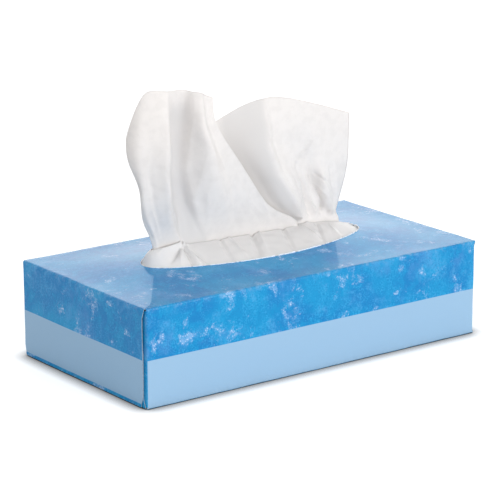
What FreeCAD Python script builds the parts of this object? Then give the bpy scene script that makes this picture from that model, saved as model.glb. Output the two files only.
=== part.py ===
import FreeCAD, Part
import math
import os

import Sketcher

# Tissue box: a flat folded carton with an oval opening in its top, a slit film window under the opening,
# a stack of folded sheets inside and one sheet that stands out of the slit.
# Millimetres. X runs along the box, Y across it and Z up. The origin is the middle of the carton's base.

# Driving dimensions
SIZES = [
    ("carton_length", 230.0),
    ("carton_width", 120.0),
    ("carton_height", 55.0),
    ("board_thickness", 0.5),
    ("glue_gap", 0.1),
    ("fold_radius", 1.2),
    ("cut_edge_lift", 0.7),
    ("glue_flap_height", 16.0),
    ("dust_flap_length", 44.0),
    ("inner_flap_height", 36.0),
    ("inner_flap_inset", 3.2),
    ("outer_flap_inset", 2.8),
    ("flap_shoulder", 5.6),
    ("flap_toe", 6.0),
    ("flap_toe_inset", 1.5),
    ("top_bulge", 4.5),
    ("bulge_margin", 1.0),
    ("opening_length", 148.0),
    ("opening_width", 52.0),
    ("film_thickness", 0.15),
    ("film_margin", 10.0),
    ("film_gap", 0.25),
    ("film_rise", 6.0),
    ("film_rim", 4.0),
    ("slit_length", 139.0),
    ("slit_width", 4.8),
    ("stack_end_room", 9.0),
    ("stack_side_room", 7.0),
    ("stack_height", 47.0),
    ("stack_rounding", 3.0),
    ("soft_gap", 0.3),
    ("film_clearance", 2.5),
    ("sheet_thickness", 0.4),
    ("sheet_reach", 80.0),
    ("sheet_depth", 18.0),
    ("sheet_rise", 94.0),
    ("foot_bend", 5.0),
    ("foot_length", 28.0),
]

document = FreeCAD.newDocument("tissue_box")
table = document.addObject("Spreadsheet::Sheet", "Sizes")
for row, (alias, number) in enumerate(SIZES, start=1):
    table.set(f"A{row}", alias)
    table.set(f"B{row}", str(number))
    table.setAlias(f"B{row}", alias)
document.recompute()


def size(expression):
    """The number that an expression of the table's names stands for."""
    return float(table.evalExpression(expression))


# Places that several pieces share, as expressions of the table's names
LAYER = "(Sizes.board_thickness + Sizes.glue_gap)"
BOARD = "Sizes.board_thickness"
FOLD = "Sizes.fold_radius"
INNER_FOLD = "(Sizes.fold_radius - Sizes.board_thickness)"
TOP = "Sizes.carton_height"
SIDE = "(Sizes.carton_width / 2)"
OUTER_END = "(Sizes.carton_length / 2)"
INNER_END = f"({OUTER_END} - {LAYER})"
DUST_END = f"({OUTER_END} - 2 * {LAYER})"
SLEEVE_END = f"({DUST_END} - {FOLD})"


# Helpers for sketches and bodies
def origin_plane(body, role):
    for feature in body.Origin.OriginFeatures:
        if feature.Role == role:
            return feature
    raise RuntimeError(f"{body.Label} has no {role}")


def add_sketch(body, name, role):
    sketch = body.newObject("Sketcher::SketchObject", name)
    sketch.AttachmentSupport = [(origin_plane(body, role), "")]
    sketch.MapMode = "FlatFace"
    return sketch


def hold(sketch, kind, places, expression):
    """Adds one dimension and binds it to the table."""
    index = sketch.addConstraint(Sketcher.Constraint(kind, *places, size(expression)))
    sketch.setExpression(f"Constraints[{index}]", expression)


def draw_outline(sketch, corners, folds=()):
    """Draws a closed outline through corners given as pairs of expressions.
    Each fold is (corner it starts at, radius, centre) and turns that side into an arc."""
    spots = [FreeCAD.Vector(size(across), size(up), 0) for across, up in corners]
    arcs = {start: (radius, centre) for start, radius, centre in folds}
    ends = []
    for index, start in enumerate(spots):
        finish = spots[(index + 1) % len(spots)]
        if index not in arcs:
            side = sketch.addGeometry(Part.LineSegment(start, finish), False)
            ends.append((side, 1, 2))
            continue
        radius, centre = arcs[index]
        middle = FreeCAD.Vector(size(centre[0]), size(centre[1]), 0)
        outward = (start - middle) + (finish - middle)
        outward.normalize()
        side = sketch.addGeometry(Part.Arc(start, middle + outward * size(radius), finish), False)
        anticlockwise = (start - middle).cross(finish - middle).z > 0
        ends.append((side, 1, 2) if anticlockwise else (side, 2, 1))
        hold(sketch, "Radius", [side], radius)
    for index, (side, first, last) in enumerate(ends):
        before, _, joint = ends[index - 1]
        sketch.addConstraint(Sketcher.Constraint("Coincident", before, joint, side, first))
        hold(sketch, "DistanceX", [-1, 1, side, first], corners[index][0])
        hold(sketch, "DistanceY", [-1, 1, side, first], corners[index][1])


def add_body(name):
    return document.addObject("PartDesign::Body", name)


def add_pad(body, sketch, length, midplane=True):
    pad = body.newObject("PartDesign::Pad", f"{sketch.Name}_pad")
    pad.Profile = sketch
    pad.Midplane = midplane
    pad.setExpression("Length", length)
    return pad


def add_through_cut(body, sketch):
    """Cuts the sketch through the body both ways, and checks that board went away."""
    document.recompute()
    before = body.Shape.Volume
    cut = body.newObject("PartDesign::Pocket", f"{sketch.Name}_cut")
    cut.Profile = sketch
    cut.Type = "ThroughAll"
    cut.Midplane = True
    document.recompute()
    if body.Shape.Volume >= before:
        raise RuntimeError(f"{cut.Name} cuts nothing")
    return cut


def mirrored(source, name, normal):
    mirror = document.addObject("Part::Mirroring", name)
    mirror.Source = source
    mirror.Normal = normal
    return mirror


# Carton sleeve: front, top, back and bottom panels and the glue flap inside the back panel
def make_sleeve():
    body = add_body("sleeve")
    near, far = f"(-{SIDE})", SIDE
    seam = f"({SIDE} - {LAYER})"
    low_centre, high_centre = FOLD, f"({TOP} - {FOLD})"
    near_centre, far_centre = f"({FOLD} - {SIDE})", f"({SIDE} - {FOLD})"
    seam_centre = f"({seam} - {FOLD})"
    lift, flap = "Sizes.cut_edge_lift", "Sizes.glue_flap_height"
    corners = [
        (far, lift),
        (far, high_centre),
        (far_centre, TOP),
        (near_centre, TOP),
        (near, high_centre),
        (near, low_centre),
        (near_centre, "0"),
        (seam_centre, "0"),
        (seam, low_centre),
        (seam, flap),
        (f"({seam} - {BOARD})", flap),
        (f"({seam} - {BOARD})", low_centre),
        (seam_centre, BOARD),
        (near_centre, BOARD),
        (f"({near} + {BOARD})", low_centre),
        (f"({near} + {BOARD})", high_centre),
        (near_centre, f"({TOP} - {BOARD})"),
        (far_centre, f"({TOP} - {BOARD})"),
        (f"({far} - {BOARD})", high_centre),
        (f"({far} - {BOARD})", lift),
    ]
    folds = [
        (1, FOLD, (far_centre, high_centre)),
        (3, FOLD, (near_centre, high_centre)),
        (5, FOLD, (near_centre, low_centre)),
        (7, FOLD, (seam_centre, low_centre)),
        (11, INNER_FOLD, (seam_centre, low_centre)),
        (13, INNER_FOLD, (near_centre, low_centre)),
        (15, INNER_FOLD, (near_centre, high_centre)),
        (17, INNER_FOLD, (far_centre, high_centre)),
    ]
    section = add_sketch(body, "sleeve_section", "YZ_Plane")
    draw_outline(section, corners, folds)
    add_pad(body, section, f"2 * {DUST_END}")

    side_windows = add_sketch(body, "side_panel_ends", "XZ_Plane")
    flat_windows = add_sketch(body, "flat_panel_ends", "XY_Plane")
    for sign in ("", "-"):
        inner, outer = f"{sign}{SLEEVE_END}", f"{sign}({OUTER_END} + 1)"
        for window, low, high in (
            (side_windows, low_centre, high_centre),
            (flat_windows, near_centre, far_centre),
        ):
            rectangle = [(inner, low), (outer, low), (outer, high), (inner, high)]
            draw_outline(window, rectangle)
    add_through_cut(body, side_windows)
    add_through_cut(body, flat_windows)
    return body


# End flaps: each is a strip of its panel, the bend and the flap, for the end at +X
def make_dust_flap():
    body = add_body("dust_flap")
    hinge = f"({FOLD} - {SIDE})"
    tip = f"(Sizes.dust_flap_length - {SIDE})"
    corners = [
        (SLEEVE_END, f"(-{SIDE})"),
        (DUST_END, hinge),
        (DUST_END, tip),
        (f"({DUST_END} - {BOARD})", tip),
        (f"({DUST_END} - {BOARD})", hinge),
        (SLEEVE_END, f"({BOARD} - {SIDE})"),
    ]
    centre = (SLEEVE_END, hinge)
    outline = add_sketch(body, "dust_flap_outline", "XY_Plane")
    outline.setExpression(".AttachmentOffset.Base.z", FOLD)
    draw_outline(outline, corners, [(0, FOLD, centre), (4, INNER_FOLD, centre)])
    add_pad(body, outline, f"{TOP} - 2 * {FOLD}", midplane=False)
    return body


def make_end_flap(name, face, hinged_at_top, inset, tip):
    """A flap that closes the end, folded down from the top panel or up from the bottom one."""
    body = add_body(name)
    if hinged_at_top:
        skin, under, hinge = TOP, f"({TOP} - {BOARD})", f"({TOP} - {FOLD})"
        shoulder, toe = f"({TOP} - Sizes.flap_shoulder)", f"({tip} + Sizes.flap_toe)"
    else:
        skin, under, hinge = "0", BOARD, FOLD
        shoulder, toe = "Sizes.flap_shoulder", f"({tip} - Sizes.flap_toe)"
    bend = f"({face} - {FOLD})"
    corners = [
        (SLEEVE_END, skin),
        (bend, skin),
        (face, hinge),
        (face, tip),
        (f"({face} - {BOARD})", tip),
        (f"({face} - {BOARD})", hinge),
        (bend, under),
        (SLEEVE_END, under),
    ]
    profile = add_sketch(body, f"{name}_profile", "XZ_Plane")
    draw_outline(profile, corners, [(1, FOLD, (bend, hinge)), (5, INNER_FOLD, (bend, hinge))])
    add_pad(body, profile, f"2 * ({SIDE} - {FOLD})")

    # The flap's side edges slope in below the hinge and again at the toe
    trim = add_sketch(body, f"{name}_side_edges", "YZ_Plane")
    for sign in ("", "-"):
        full = f"{sign}({SIDE} - {FOLD})"
        narrow = f"{sign}({SIDE} - {inset})"
        toe_width = f"{sign}({SIDE} - {inset} - Sizes.flap_toe_inset)"
        beyond = f"{sign}({SIDE} + 1)"
        edge = [(full, hinge), (narrow, shoulder), (narrow, toe), (toe_width, tip), (beyond, tip), (beyond, hinge)]
        draw_outline(trim, edge)
    add_through_cut(body, trim)
    return body


# Top panel: flat at its folds and bulging in the middle
BULGE_LENGTH = f"2 * ({SLEEVE_END} - Sizes.bulge_margin)"
BULGE_WIDTH = f"2 * ({SIDE} - {FOLD} - Sizes.bulge_margin)"
PANEL_FACETS = (21, 13)
FILM_FACETS = (33, 17)
FACET_TOLERANCE = 1e-4


def bulge_height(along, across):
    """Height of the panel's outer face above the carton's height at its folds."""
    lengthwise = max(0.0, 1 - (2 * along / size(BULGE_LENGTH)) ** 4)
    crosswise = max(0.0, 1 - (2 * across / size(BULGE_WIDTH)) ** 2)
    return size("Sizes.top_bulge") * lengthwise**2 * crosswise**2


def panel_top(along, across):
    return size(TOP) + bulge_height(along, across)


def spread(half, count):
    """Evenly spaced numbers from -half to half."""
    return [half * (2 * step / (count - 1) - 1) for step in range(count)]


def places_between(rows):
    """Parameters from 0 to 1 for rows of points, spaced by the mean gap between neighbours."""
    places = [0.0]
    for index in range(len(rows[0]) - 1):
        gaps = [row[index].distanceToPoint(row[index + 1]) for row in rows]
        places.append(places[-1] + sum(gaps) / len(gaps))
    return [place / places[-1] for place in places]


def curve_through(points, places):
    curve = Part.BSplineCurve()
    curve.interpolate(Points=list(points), Parameters=places)
    return curve


def surface_through(rows):
    """A smooth surface through a grid of points."""
    across = places_between(rows)
    along = places_between(list(zip(*rows)))
    row_curves = [curve_through(row, across) for row in rows]
    columns = zip(*[curve.getPoles() for curve in row_curves])
    column_curves = [curve_through(column, along) for column in columns]
    first_row, first_column = row_curves[0], column_curves[0]
    surface = Part.BSplineSurface()
    surface.buildFromPolesMultsKnots(
        [curve.getPoles() for curve in column_curves],
        first_row.getMultiplicities(),
        first_column.getMultiplicities(),
        first_row.getKnots(),
        first_column.getKnots(),
        False,
        False,
        first_row.Degree,
        first_column.Degree,
    )
    return surface


def height_grid(height, half_length, half_width, grid):
    """Points over a rectangle, at the heights that a function gives."""
    return [
        [FreeCAD.Vector(x, y, height(x, y)) for y in spread(half_width, grid[1])]
        for x in spread(half_length, grid[0])
    ]


def border_places(last_row, last_column):
    """Grid places round the border of a grid, in order."""
    loop = [(row, 0) for row in range(last_row)]
    loop += [(last_row, column) for column in range(last_column)]
    loop += [(row, last_column) for row in range(last_row, 0, -1)]
    loop += [(0, column) for column in range(last_column, 0, -1)]
    return loop


def solid_between(near, far):
    """A solid between two like grids of points: two skins of small flat facets, closed round their border."""
    rows, columns = len(near), len(near[0])
    vertices = [point for grid in (near, far) for row in grid for point in row]
    far_side = rows * columns
    facets = []
    for row in range(rows - 1):
        for column in range(columns - 1):
            a = row * columns + column
            b, c, d = a + columns, a + columns + 1, a + 1
            facets += [(c, b, a), (d, c, a)]
            facets += [(a + far_side, b + far_side, c + far_side), (a + far_side, c + far_side, d + far_side)]
    loop = [row * columns + column for row, column in border_places(rows - 1, columns - 1)]
    for start, finish in zip(loop, loop[1:] + loop[:1]):
        facets += [(start, finish, finish + far_side), (start, finish + far_side, start + far_side)]
    shell = Part.Shape()
    shell.makeShapeFromMesh((vertices, facets), FACET_TOLERANCE)
    solid = Part.makeSolid(shell)
    if solid.Volume < 0:
        solid.reverse()
    return solid


def make_top_panel():
    points = height_grid(panel_top, size(BULGE_LENGTH) / 2, size(BULGE_WIDTH) / 2, PANEL_FACETS)
    skin = surface_through(points).toShape()
    panel = document.addObject("Part::Feature", "bulged_panel")
    panel.Shape = skin.extrude(FreeCAD.Vector(0, 0, -size(BOARD)))
    return panel


def add_box(name, length, width, bottom, height):
    """A block centred on the Z axis, bound to the table."""
    box = document.addObject("Part::Box", name)
    box.setExpression("Length", length)
    box.setExpression("Width", width)
    box.setExpression("Height", height)
    box.setExpression(".Placement.Base.x", f"-({length}) / 2")
    box.setExpression(".Placement.Base.y", f"-({width}) / 2")
    box.setExpression(".Placement.Base.z", bottom)
    return box


def cut_from(base, tool, name):
    cut = document.addObject("Part::Cut", name)
    cut.Base = base
    cut.Tool = tool
    return cut


def fused(pieces, name):
    fuse = document.addObject("Part::MultiFuse", name)
    fuse.Shapes = pieces
    fuse.Refine = True
    return fuse


def make_carton():
    sleeve = make_sleeve()
    dust = make_dust_flap()
    far_dust = mirrored(dust, "far_dust_flap", FreeCAD.Vector(0, 1, 0))
    inner = make_end_flap("inner_flap", INNER_END, False, "Sizes.inner_flap_inset", "Sizes.inner_flap_height")
    outer = make_end_flap("outer_flap", OUTER_END, True, "Sizes.outer_flap_inset", "Sizes.cut_edge_lift")
    flaps = [dust, far_dust, inner, outer]
    flaps += [mirrored(flap, f"left_{flap.Name}", FreeCAD.Vector(1, 0, 0)) for flap in flaps]
    folded = fused([sleeve] + flaps, "folded_blank")

    flat = add_box("flat_of_top_panel", BULGE_LENGTH, BULGE_WIDTH, f"{TOP} - 2 * {BOARD}", f"3 * {BOARD}")
    open_top = cut_from(folded, flat, "blank_without_panel")
    whole = fused([open_top, make_top_panel()], "blank_with_panel")

    oval = document.addObject("Part::Ellipse", "opening_oval")
    oval.setExpression("MajorRadius", "Sizes.opening_length / 2")
    oval.setExpression("MinorRadius", "Sizes.opening_width / 2")
    oval.setExpression(".Placement.Base.z", f"{TOP} - 2 * {BOARD}")
    punch = document.addObject("Part::Extrusion", "opening_punch")
    punch.Base = oval
    punch.DirMode = "Custom"
    punch.Dir = FreeCAD.Vector(0, 0, 1)
    punch.Solid = True
    punch.setExpression("LengthFwd", f"3 * {BOARD} + Sizes.top_bulge")
    carton = cut_from(whole, punch, "carton")
    carton.Label = "carton"
    return carton


# Film window: glued under the panel round the opening and drawn up to the slit by the sheet
def film_top(along, across):
    """Height of the film: flat under the panel, and rising to the slit from just inside the opening's rim."""
    half_length = size("Sizes.opening_length / 2 - Sizes.film_rim")
    half_width = size("Sizes.opening_width / 2 - Sizes.film_rim")
    under_panel = panel_top(along, across) - size(f"{BOARD} + Sizes.film_gap")
    lengthwise = 1 - (along / half_length) ** 2
    if lengthwise <= 0:
        return under_panel
    crosswise = max(0.0, 1 - (across / half_width) ** 2 / lengthwise)
    return under_panel + size("Sizes.film_rise") * (1 - (along / half_length) ** 4) * crosswise**2


def make_film():
    half_length = size("Sizes.opening_length / 2 + Sizes.film_margin")
    half_width = size("Sizes.opening_width / 2 + Sizes.film_margin")
    thickness = size("Sizes.film_thickness")
    upper = height_grid(film_top, half_length, half_width, FILM_FACETS)
    lower = [[point - FreeCAD.Vector(0, 0, thickness) for point in row] for row in upper]
    radius = size("Sizes.slit_width / 2")
    straight = size("Sizes.slit_length / 2") - radius
    low, high = size(TOP) - thickness, 2 * size("Sizes.top_bulge + Sizes.film_rise")
    bar = Part.makeBox(2 * straight, 2 * radius, high, FreeCAD.Vector(-straight, -radius, low))
    ends = [Part.makeCylinder(radius, high, FreeCAD.Vector(x, 0, low)) for x in (-straight, straight)]
    film = document.addObject("Part::Feature", "film_window")
    film.Shape = solid_between(lower, upper).cut(bar.multiFuse(ends).removeSplitter())
    film.Label = "film_window"
    return film


# Stack: the folded sheets, lying on the carton's bottom
def make_stack():
    body = add_body("tissue_stack")
    low = f"({BOARD} + Sizes.soft_gap)"
    high = f"({low} + Sizes.stack_height)"
    half, rounding = f"({SIDE} - Sizes.stack_side_room)", "Sizes.stack_rounding"
    inside = f"({half} - {rounding})"
    low_centre, high_centre = f"({low} + {rounding})", f"({high} - {rounding})"
    corners = [
        (half, low_centre),
        (half, high_centre),
        (inside, high),
        (f"-{inside}", high),
        (f"-{half}", high_centre),
        (f"-{half}", low_centre),
        (f"-{inside}", low),
        (inside, low),
    ]
    folds = [
        (1, rounding, (inside, high_centre)),
        (3, rounding, (f"-{inside}", high_centre)),
        (5, rounding, (f"-{inside}", low_centre)),
        (7, rounding, (inside, low_centre)),
    ]
    section = add_sketch(body, "stack_section", "YZ_Plane")
    draw_outline(section, corners, folds)
    add_pad(body, section, "Sizes.carton_length - 2 * Sizes.stack_end_room")
    body.Label = "tissue_stack"
    return body


# Standing sheet: lines from the top edge down to the slit, taken round the sheet from its free front edge,
# round the left end and on to its free right edge. A line has the way its foot spreads on the stack, in
# degrees from +X, its place in the slit as a share of the half slit, and its points above the slit as
# (along, across, up), in hundredths of the sheet's reach, depth and rise.
FRONT, FRONT_LEFT, LEFT, BACK_LEFT, BACK = -90, -135, 180, 135, 90
SHEET_FACETS = (36, 26)
SHEET_LINES = [
    (FRONT, 0.42, [(-48, -83, 91), (-46, -83, 77), (-31, -74, 58), (-9, -56, 34), (14, -33, 14)]),
    (FRONT, -0.07, [(-56, -89, 94), (-54, -89, 78), (-45, -83, 59), (-32, -67, 38), (-18, -39, 18)]),
    (FRONT, -0.47, [(-63, -89, 96), (-62, -89, 79), (-57, -83, 61), (-52, -67, 41), (-46, -39, 21)]),
    (FRONT, -0.69, [(-70, -72, 97), (-69, -56, 81), (-67, -44, 62), (-65, -33, 41), (-62, -17, 22)]),
    (FRONT, -0.78, [(-87, -94, 99), (-88, -100, 86), (-86, -100, 67), (-82, -83, 45), (-75, -50, 25)]),
    (FRONT, -0.87, [(-97, -83, 100), (-98, -89, 87), (-96, -89, 67), (-92, -72, 46), (-87, -44, 24)]),
    (FRONT_LEFT, -0.93, [(-105, -61, 94), (-107, -67, 81), (-107, -67, 64), (-102, -56, 45), (-95, -33, 24)]),
    (LEFT, -0.955, [(-110, -17, 71), (-110, -17, 64), (-107, -17, 54), (-99, -17, 38), (-95, -11, 21)]),
    (BACK_LEFT, -0.93, [(-96, 17, 70), (-96, 17, 62), (-92, 17, 51), (-87, 17, 37), (-85, 11, 21)]),
    (BACK, -0.73, [(-73, 28, 70), (-72, 28, 61), (-70, 28, 49), (-67, 22, 34), (-65, 17, 18)]),
    (BACK, -0.35, [(-48, 28, 70), (-45, 28, 59), (-41, 28, 46), (-36, 22, 30), (-32, 17, 15)]),
    (BACK, 0.14, [(-26, 22, 71), (-20, 22, 60), (-11, 22, 45), (0, 22, 27), (7, 17, 12)]),
    (BACK, 0.38, [(-6, 22, 77), (-1, 28, 64), (5, 28, 49), (16, 28, 29), (26, 19, 13)]),
    (BACK, 0.55, [(12, 0, 82), (12, -6, 69), (14, -11, 53), (26, -17, 34), (38, -11, 16)]),
    (BACK, 0.67, [(40, -11, 78), (42, -11, 64), (47, 6, 47), (52, 17, 30), (55, 17, 13)]),
    (BACK, 0.78, [(66, 0, 71), (66, 0, 58), (66, 0, 42), (64, -6, 26), (63, -6, 11)]),
    (BACK, 0.88, [(90, 17, 64), (90, 17, 52), (90, 22, 34), (85, 22, 17), (79, 17, 3)]),
]


def sheet_line(way, place, upper):
    """One line of the sheet's middle surface, from its top edge down to its foot on the stack."""
    reach, depth, rise = size("Sizes.sheet_reach"), size("Sizes.sheet_depth"), size("Sizes.sheet_rise")
    bend, foot = size("Sizes.foot_bend"), size("Sizes.foot_length")
    half_slit = size("Sizes.slit_length / 2")
    turn = size("Sizes.slit_width / 2 - 2 * Sizes.soft_gap - Sizes.sheet_thickness / 2")
    seat = size(f"{BOARD} + Sizes.stack_height + 4 * Sizes.soft_gap + Sizes.sheet_thickness / 2")
    slit_height = film_top(0, 0)
    outward = FreeCAD.Vector(math.cos(math.radians(way)), math.sin(math.radians(way)), 0)
    neck = FreeCAD.Vector(place * half_slit, math.copysign(turn, outward.y) if way != LEFT else 0, 0)
    points = [
        FreeCAD.Vector(along * reach / 100, across * depth / 100, slit_height + up * rise / 100)
        for along, across, up in upper
    ]
    clear_of_film = film_top(neck.x, 0) + size("Sizes.film_clearance")
    points.append(neck + FreeCAD.Vector(0, 0, clear_of_film))
    points.append(neck + FreeCAD.Vector(0, 0, seat + bend))
    for angle in (45, 90):
        out, down = 1 - math.cos(math.radians(angle)), math.sin(math.radians(angle))
        points.append(neck + outward * bend * out + FreeCAD.Vector(0, 0, seat + bend * (1 - down)))
    for share in (0.5, 1.0):
        points.append(neck + outward * (bend + share * foot) + FreeCAD.Vector(0, 0, seat))
    return points


def make_popup():
    middle = surface_through([sheet_line(*line) for line in SHEET_LINES])
    half = size("Sizes.sheet_thickness / 2")
    along_count, down_count = SHEET_FACETS
    skins = ([], [])
    for along in range(along_count + 1):
        line = [(along / along_count, down / down_count) for down in range(down_count + 1)]
        for skin, side in zip(skins, (-half, half)):
            skin.append([middle.value(*place) + middle.normal(*place) * side for place in line])
    popup = document.addObject("Part::Feature", "popup_tissue")
    popup.Shape = solid_between(*skins)
    popup.Label = "popup_tissue"
    return popup


# Make every piece, check it and write its file
pieces = [make_carton(), make_film(), make_stack(), make_popup()]
document.recompute()
for item in document.Objects:
    if "Invalid" in item.State or "Error" in item.State:
        raise RuntimeError(f"{item.Label} did not rebuild: {item.State}")
for piece in pieces:
    if piece.Shape.isNull() or not piece.Shape.isValid() or len(piece.Shape.Solids) != 1:
        raise RuntimeError(f"{piece.Label} is not one valid solid")
os.makedirs("parts", exist_ok=True)
for piece in pieces:
    piece.Shape.exportStep(f"parts/{piece.Label}.step")
    box = piece.Shape.BoundBox
    print(f"{piece.Label}: {piece.Shape.Volume:.0f} mm3, {box.XLength:.1f} x {box.YLength:.1f} x {box.ZLength:.1f} mm")
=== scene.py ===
import math

import bmesh
import bpy
import numpy as np
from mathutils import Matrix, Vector, noise


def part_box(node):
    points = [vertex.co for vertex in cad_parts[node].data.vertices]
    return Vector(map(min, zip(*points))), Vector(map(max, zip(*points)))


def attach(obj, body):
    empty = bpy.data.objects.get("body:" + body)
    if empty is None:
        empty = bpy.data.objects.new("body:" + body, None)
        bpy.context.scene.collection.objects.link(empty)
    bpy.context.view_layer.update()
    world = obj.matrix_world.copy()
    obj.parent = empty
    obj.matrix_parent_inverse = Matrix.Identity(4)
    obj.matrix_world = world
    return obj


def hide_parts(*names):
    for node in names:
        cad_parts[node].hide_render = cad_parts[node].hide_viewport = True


# Tissue box: a printed folding carton, its slit film window, the folded sheets inside and the standing sheet.
# Lengths are in millimetres until a mesh is made; +X is along the box, -Y its front and Z up.
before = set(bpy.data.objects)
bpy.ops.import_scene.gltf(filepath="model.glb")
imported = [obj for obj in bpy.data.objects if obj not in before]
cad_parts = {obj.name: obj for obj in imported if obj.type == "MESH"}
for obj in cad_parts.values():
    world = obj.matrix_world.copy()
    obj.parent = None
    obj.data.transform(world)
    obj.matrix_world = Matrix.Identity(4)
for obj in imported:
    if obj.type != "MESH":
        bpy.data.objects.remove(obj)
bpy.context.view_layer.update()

MM = 0.001

# Carton, from the frame's box of it and the board's own sizes
carton_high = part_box("carton")[1]
END = carton_high[0] / MM
SIDE = carton_high[1] / MM
TOP = 55.0
BOARD = 0.5
LAYER = 0.6
FOLD = 1.2
CUT_LIFT = 0.7
GLUE_FLAP = 16.0
DUST_FLAP = 44.0
INNER_FLAP = 36.0
OUTER_INSET, INNER_INSET = 2.8, 3.2
SHOULDER, TOE, TOE_INSET = 5.6, 6.0, 1.5
FAR_EDGE_SPARE = 1.5
DUST_END = END - 2 * LAYER
SLEEVE_END = DUST_END - FOLD
FLAT_SIDE = SIDE - FOLD
BULGE, BULGE_MARGIN = 4.5, 1.0
BULGE_LENGTH, BULGE_WIDTH = SLEEVE_END - BULGE_MARGIN, FLAT_SIDE - BULGE_MARGIN
OPENING_LENGTH, OPENING_WIDTH = 74.0, 26.0
BAND_HEIGHT, BAND_BLUR = 26.7, 0.12
END_BAND_LOW, END_BAND_BLUR = 2.6, 0.1
FACE_DEPTH, FOOT_LINE = 0.3, 0.4
WEAR_REACH, WARP_REACH = 1.9, 11.0

# Points along the carton's grids
LENGTH_POINTS, BREADTH_POINTS, HEIGHT_POINTS = 115, 61, 29
RINGS, RING_CROWDING = 19, 1.25
GLUE_FLAP_POINTS, DUST_FLAP_POINTS, OUTER_FLAP_POINTS = 9, 19, 22
INNER_FLAP_HEIGHTS = (12, 18, 24)

# Nibs of torn perforation: length, depth and height, the shares that each is scaled by, and how many are left
NIB_SIZE, NIB_PITCH, NIB_SINK = (1.5, 0.45, 1.5), 1.3, 0.05
SMALLEST_NIB, LARGEST_NIB, NIBS_LEFT = (0.3, 0.25, 0.5), (1.5, 1.4, 1.0), 0.8
RIM_POINTS = 220

# Film and slit
FILM_GAP = 0.25
FILM_THICKNESS = 0.15
FILM_LENGTH, FILM_WIDTH = 84.0, 36.0
TENT_LENGTH, TENT_WIDTH = 73.6, 25.6
SLIT_LENGTH = 71.5
FILM_LIP, FILM_LIP_REACH = 0.35, 1.2
FILM_SLACK, SLACK_LENGTH, SLACK_WIDTH = 0.35, 7, 5
RIM_HOLD = 5
FILM_POINTS, FILM_ROWS, FILM_CROWDING = 301, 42, 1.2

# Stack of folded leaves: each fills a share of its pitch, and slips a little to either side
STACK_LENGTH, STACK_WIDTH = 212.0, 106.0
STACK_LOW, STACK_HEIGHT = 0.8, 47.0
LEAVES, LEAF_SHARE = 94, 0.88
LEAF_SLIP, SLIP_ROOM = 0.5, 0.6

# Standing sheet, and how its unevenness and its folds grow above the slit
SHEET_THICKNESS = 0.22
SHEET_REACH, SHEET_DEPTH, SHEET_RISE = 79.3, 18.0, 93.0
SEAT_LIFT = 1.4
SEAT = BOARD + STACK_HEIGHT + SEAT_LIFT
FOOT_BEND, FOOT_LENGTH = 5.0, 28.0
NECK_OFFSET, NECK_RISE = 1.6, 2.5
SHEET_COLUMNS, SHEET_ROWS = 260, 165
FRONT_SHARE, BACK_SHARE = 0.42, 0.5
WAVES, GATHERS, CRUMPLE = 0.9, 1.5, 0.35
CALM, RELIEF_GROWTH, GATHER_REACH = 2, 14, 26
FOLD_START, FRONT_GROWTH, BACK_GROWTH = 1, 26, 5
FOLD_FADE, PAINTED_SHADE_FADE, FOLD_OVERRUN = 0.45, 0.1, 0.25


# Helpers for colours, nodes and meshes
def linear(hex_colour):
    """An sRGB hex colour as linear RGBA."""
    parts = [int(hex_colour[start:start + 2], 16) / 255 for start in (1, 3, 5)]
    return tuple(c / 12.92 if c <= 0.04045 else ((c + 0.055) / 1.055) ** 2.4 for c in parts) + (1.0,)


def add_node(tree, kind, settings=None, links=None):
    """Adds a node. Settings are its properties, or values of its inputs by name or number."""
    node = tree.nodes.new(kind)
    for name, value in (settings or {}).items():
        if isinstance(name, int) or name in node.inputs:
            node.inputs[name].default_value = value
        else:
            setattr(node, name, value)
    for name, source in (links or {}).items():
        tree.links.new(source, node.inputs[name])
    return node


MIX_FACTOR, MIX_A, MIX_B, MIX_RESULT = 0, 6, 7, 2


def blank_material(name):
    """A material with only its output node, and that node's surface input."""
    material = bpy.data.materials.new(name)
    material.use_nodes = True
    material.node_tree.nodes.clear()
    output = add_node(material.node_tree, "ShaderNodeOutputMaterial")
    return material, material.node_tree, output.inputs["Surface"]


def millimetres(tree):
    """Object coordinates in millimetres."""
    place = add_node(tree, "ShaderNodeTexCoord").outputs["Object"]
    scale = (1 / MM, 1 / MM, 1 / MM)
    return add_node(tree, "ShaderNodeMapping", {"Scale": scale}, {"Vector": place}).outputs[0]


def noise_of(tree, where, size, detail=3.0, roughness=0.55, distortion=0.0):
    """Smooth noise with lumps of about that size in millimetres."""
    settings = {"Scale": 1 / size, "Detail": detail, "Roughness": roughness, "Distortion": distortion}
    return add_node(tree, "ShaderNodeTexNoise", settings, {"Vector": where}).outputs[0]


def between(tree, value, low, high):
    """0 below low, 1 above high and smooth between them."""
    settings = {"interpolation_type": "SMOOTHSTEP", "From Min": low, "From Max": high}
    return add_node(tree, "ShaderNodeMapRange", settings, {"Value": value}).outputs["Result"]


def times(tree, first, second):
    """Two masks multiplied. The second may be a number."""
    node = add_node(tree, "ShaderNodeMath", {"operation": "MULTIPLY"}, {0: first})
    if isinstance(second, float):
        node.inputs[1].default_value = second
    else:
        tree.links.new(second, node.inputs[1])
    return node.outputs[0]


def laid_over(tree, under, over, mask):
    """A colour, hex or socket, laid over another where the mask is 1."""
    node = add_node(tree, "ShaderNodeMix", {"data_type": "RGBA"}, {MIX_FACTOR: mask})
    for slot, colour in ((MIX_A, under), (MIX_B, over)):
        if isinstance(colour, str):
            node.inputs[slot].default_value = linear(colour)
        else:
            tree.links.new(colour, node.inputs[slot])
    return node.outputs[MIX_RESULT]


def add_object(name, mesh, materials):
    piece = bpy.data.objects.new(name, mesh)
    bpy.context.collection.objects.link(piece)
    for material in materials:
        mesh.materials.append(material)
    return piece


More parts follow.
